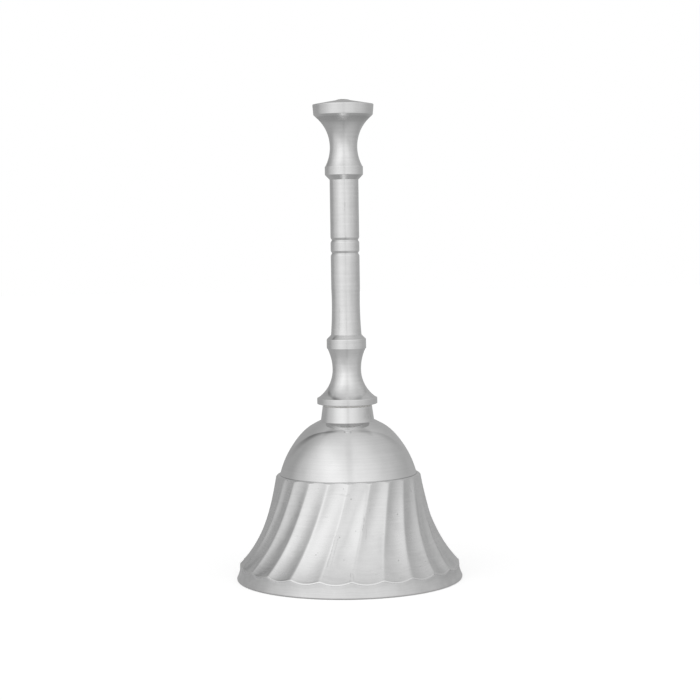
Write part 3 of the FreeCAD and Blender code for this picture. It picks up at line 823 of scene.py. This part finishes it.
def dome_outline(steps=60):
    """Dome from the ledge to the neck's seat: an ellipse, a little fuller beside the neck."""
    points = ellipse(DOME_RADIUS, DOME_RISE, seat_height(), LEDGE_HEIGHT, steps)[::-1]
    low, middle, high = FULLER_RADII
    return [(r, z + FULLER_BY * smooth_step(r, low, middle) * (1 - smooth_step(r, middle, high)))
            for r, z in points]


def ellipse(radius, rise, top, foot, steps):
    """Points on an ellipse about the axis, from one height to another, evenly by angle."""
    first = math.asin((top - DOME_CENTRE_HEIGHT) / rise)
    last = math.asin((foot - DOME_CENTRE_HEIGHT) / rise)
    angles = [first + (last - first) * step / steps for step in range(steps + 1)]
    return [(radius * math.cos(a), DOME_CENTRE_HEIGHT + rise * math.sin(a)) for a in angles]


def add_lip_and_band(add, foot):
    lip, lip_steps, band_steps = lip_radius(), 5, 11
    # The lip's rounding is worn bright; its first row, on the underside, is darkened as painted
    # shade.
    for step in range(lip_steps + 1):
        angle = math.radians(90 * step / lip_steps)
        add(lip - LIP_EDGE_ROUNDING * (1 - math.sin(angle)),
            LIP_EDGE_ROUNDING * (1 - math.cos(angle)), LIP_WEAR_AND_SHADE if step else -LIP_WEAR_AND_SHADE, BAND)
    for step in range(1, band_steps + 1):
        share = step / (band_steps + 0.4)
        height = LIP_EDGE_ROUNDING + (foot - BEAD_DROP - LIP_EDGE_ROUNDING) * share
        add(band_radius(height), height, 0.0, BAND)


def add_flutes(add, fraction, foot, brow):
    # The bead's bright rows are worn metal with a painted highlight; its lowest row is painted shade.
    for offset, bead, wear_sheen_and_shade in BEAD_BELOW:
        add(band_radius(foot + offset) + bead, foot + offset, wear_sheen_and_shade, SKIRT)
    for offset, bead, wear_sheen_and_shade in BEAD_ABOVE:
        add(flute_radius(fraction, foot + offset) + bead, foot + offset, wear_sheen_and_shade, SKIRT)
    start = foot + BEAD_ABOVE[-1][0]
    crest = np.exp(-(np.minimum(fraction, 1 - fraction) / CREST_WIDTH) ** 2)
    for step in range(1, FLUTE_ROWS + 1):
        height = start + (brow - start) * step / FLUTE_ROWS
        add(flute_radius(fraction, height), height, CREST_WEAR * crest, SKIRT)


def add_ledge_and_dome(add, brow):
    ledge_steps = 6
    first = np.arcsin((brow - LEDGE_HEIGHT + LEDGE_ROUNDING) / LEDGE_ROUNDING)
    for step in range(1, ledge_steps + 1):
        angle = first + (math.pi / 2 - first) * step / ledge_steps
        add(LEDGE_INNER_RADIUS + LEDGE_ROUNDING * np.cos(angle),
            LEDGE_HEIGHT - LEDGE_ROUNDING * (1 - np.sin(angle)), LEDGE_WEAR)
    dome = dome_outline()
    # Values below 0 in these rows paint shade into the crease at the dome's foot.
    for offset, lift, wear_sheen_and_shade in CREASE:
        add(dome[0][0] + offset, LEDGE_HEIGHT + lift, wear_sheen_and_shade)
    for point in dome[1:-1]:
        add(*point)
    # A close row on each side keeps the edge at the neck's seat crisp.
    add(dome[-1][0] + 0.04, dome[-1][1] - 0.02)
    add(*dome[-1])


def add_neck(add):
    neck_top = span("bell_shell")[1]
    neck = outline(
        (NECK_SEAT_RADIUS - 0.05, seat_height()), (NECK_FOOT_RADIUS, seat_height()),
        (NECK_TOP_RADIUS, neck_top, 0.12), (BORE_RADIUS, neck_top), (0, neck_top))
    stop = next(i for i, p in enumerate(neck) if p[0] <= BORE_RADIUS + 1e-6)
    for radius, height, wear_sheen_and_shade in neck[:stop + 1]:
        add(radius, height, wear_sheen_and_shade, NECK)


def add_inside(add):
    add(BORE_RADIUS, CROWN_FACE_HEIGHT, 0.0, INSIDE)
    crown = ellipse(CAVITY_DOME_RADIUS, CAVITY_DOME_RISE, CROWN_FACE_HEIGHT, CAVITY_DOME_FOOT, 16)
    for share in (0.25, 0.5, 0.75):
        add(BORE_RADIUS + (crown[0][0] - BORE_RADIUS) * share, CROWN_FACE_HEIGHT, 0.0, INSIDE)
    wall = spline([crown[-1], *CAVITY_WALL, (LIP_INNER_RADIUS, 0)], 6)
    for point in [*crown, *wall[1:-1]]:
        add(*point, 0.0, INSIDE)
    add(LIP_INNER_RADIUS + 0.02, 0.12, INNER_LIP_WEAR, INSIDE)
    add(LIP_INNER_RADIUS + 0.14, 0.0, INNER_LIP_WEAR, INSIDE)
    add((LIP_INNER_RADIUS + lip_radius() - LIP_EDGE_ROUNDING) / 2, 0.0, 0.2)


def make_bell_shell(*finishes):
    """One closed grid: up the outside, over the neck, down the bore and the cavity to the mouth."""
    share = np.arange(FLUTE_COLUMNS) / FLUTE_COLUMNS
    bunched = 0.5 - 0.5 * np.cos(math.pi * share)
    fraction = np.tile((1 - FLUTE_BUNCHING) * share + FLUTE_BUNCHING * bunched, FLUTE_COUNT)
    index = np.repeat(np.arange(FLUTE_COUNT), FLUTE_COLUMNS)
    foot = meeting_height(fraction, *FLUTES_MEET_BAND_BETWEEN, band_radius, True)
    brow = meeting_height(fraction, LEDGE_HEIGHT - LEDGE_ROUNDING, LEDGE_HEIGHT, ledge_radius, False)
    rows = []

    def add(radius, height, wear_sheen_and_shade=0.0, finish=OUTSIDE):
        full = np.ones_like(fraction)
        rows.append((radius * full, height * full, wear_sheen_and_shade * full, finish))

    add_lip_and_band(add, foot)
    add_flutes(add, fraction, foot, brow)
    add_ledge_and_dome(add, brow)
    add_neck(add)
    add_inside(add)

    radius, height, wear_sheen_and_shade = (np.stack([row[i] for row in rows]) for i in range(3))
    finish = np.array([row[3] for row in rows])
    even = 360 / FLUTE_COUNT * (index + fraction + share_up(height) ** FLUTE_WIND_POWER)
    unevenness = FLUTE_UNEVENNESS_DEG * np.sin(np.radians(2 * even))
    azimuth = np.radians(FLUTE_START_DEG + even + unevenness)
    points = np.stack([radius * np.sin(azimuth), -radius * np.cos(azimuth), height], -1)
    roughen_casting(points, finish)
    steps = np.hypot(np.diff(radius.mean(1)), np.diff(height.mean(1)))
    along = np.broadcast_to(np.concatenate([[0], np.cumsum(steps)])[:, None], radius.shape)
    mesh = grid_mesh("bell_shell", points, wear_sheen_and_shade, along)
    per_row = np.repeat(np.maximum(finish, np.roll(finish, -1)), points.shape[1])
    mesh.polygons.foreach_set("material_index", per_row.astype(np.int32))
    place_piece(mesh, "bell_shell", "bell", "cast_aluminium", *finishes)


def seat_height():
    return DOME_CENTRE_HEIGHT + DOME_RISE * math.sqrt(1 - (NECK_SEAT_RADIUS / DOME_RADIUS) ** 2)


def roughen_casting(points, finish):
    """Waves of a few hundredths over the fluted surface, dying out towards the ledge."""
    broad = np.array((1.0, 1.0, 0.6)) * WAVE_RATE
    narrow = np.array((2.6, 2.6, 1.4)) * WAVE_RATE
    for row in np.nonzero(finish == SKIRT)[0]:
        ends = np.clip((LEDGE_HEIGHT - points[row, :, 2].mean()) / 3, 0, 1)
        for point in points[row]:
            value = noise.noise(Vector(point * broad))
            value += 0.5 * noise.noise(Vector(point * narrow) + Vector((0, 0, 7)))
            point[:2] *= 1 - WAVE_DEPTH * ends * (0.75 + value) / math.hypot(*point[:2])


# ---------------------------------------------------------------- tie rod

def hammered(x, y, lift):
    """Height above the seat once the blows, which spiral outwards, have dented the rod's head."""
    for blow in range(BLOWS):
        angle, reach = blow * BLOW_TURN, 0.55 + 0.17 * blow
        away = math.hypot(x - reach * math.cos(angle), y - reach * math.sin(angle)) / BLOW_RADIUS
        if away < 1:
            lift -= BLOW_DEPTH * (1 - away ** 2) ** 2 * min(1, lift / 0.15)
    return lift


def make_tie_rod(material):
    """Rod with a low crown at its top that was hammered over, and a tenon above its foot."""
    bottom, top = span("tie_rod")
    seat = top - ROD_HEAD_CROWN
    shoulder, tenon_top = bottom + 0.8, bottom + 1.9
    on_crown = (ROD_HEAD_RADIUS * 0.6, seat + ROD_HEAD_CROWN * 0.75)
    head = arc_points((ROD_HEAD_RADIUS, seat), on_crown, (NEAR_AXIS, top), 16)
    profile = outline(
        (NEAR_AXIS, bottom), (ROD_FOOT_RADIUS, bottom, 0.38), (ROD_FOOT_RADIUS, shoulder, 0.1),
        (ROD_TENON_RADIUS, shoulder), (ROD_TENON_RADIUS, tenon_top), (ROD_RADIUS, tenon_top, 0.15),
        (ROD_RADIUS, seat - 1.2), (ROD_HEAD_RADIUS, seat), *head[1:])
    mesh = turned_mesh("tie_rod", profile)
    for vertex in mesh.vertices:
        x, y, z = vertex.co / MM
        if z >= seat + 0.02:
            vertex.co.z = (seat + hammered(x, y, z - seat)) * MM
    place_piece(mesh, "tie_rod", "bell", "steel", material)


# ---------------------------------------------------------------- the scene

def paint_nodes(material, *names):
    """Gives CAD pieces that are seen as they are a finish of their own."""
    for name in names:
        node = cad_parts[name]
        node.data.materials.clear()
        node.data.materials.append(material)


make_camera()
make_world()
make_floor()

satin = turned_metal("satin_turned", roughness=0.15, ring_height=0.006, streak_height=0.030,
                     spread=0.07, table=GRIP_MARKS)
dome_finish = turned_metal("polished_dome", roughness=0.05, ring_height=0.0008, streak_height=0.004)
neck_finish = turned_metal("polished_neck", roughness=0.09, ring_height=0.002, streak_height=0.010,
                           table=NECK_MARKS)
band_finish = turned_metal("brushed_band", roughness=0.40, ring_height=0.010, streak_height=0.030,
                           tone=0.83, spread=0.11)
inside_finish = turned_metal("rough_turned", roughness=0.42, ring_height=0.012, streak_height=0.020,
                             tone=0.66, anisotropy=0.5)
make_handle_foot(satin)
make_lower_grip(satin)
make_centre_ring(satin)
make_upper_grip(satin)
make_top_knob(satin)
make_neck_washer(fibre())
make_bell_shell(dome_finish, skirt_metal(), band_finish, neck_finish, inside_finish)
make_tie_rod(plated_steel("peened_steel", tone=0.74, roughness=0.3, scale=1.2))
paint_nodes(plated_steel("plated_steel", tone=0.6, roughness=0.32, scale=0.9),
            "crown_washer", "crown_nut", "clapper_yoke", "clapper_pin")
paint_nodes(plated_steel("clapper_steel", tone=0.52, roughness=0.34, scale=0.7),
            "clapper_rod", "clapper_ball")
bpy.context.scene.view_settings.view_transform = "Standard"
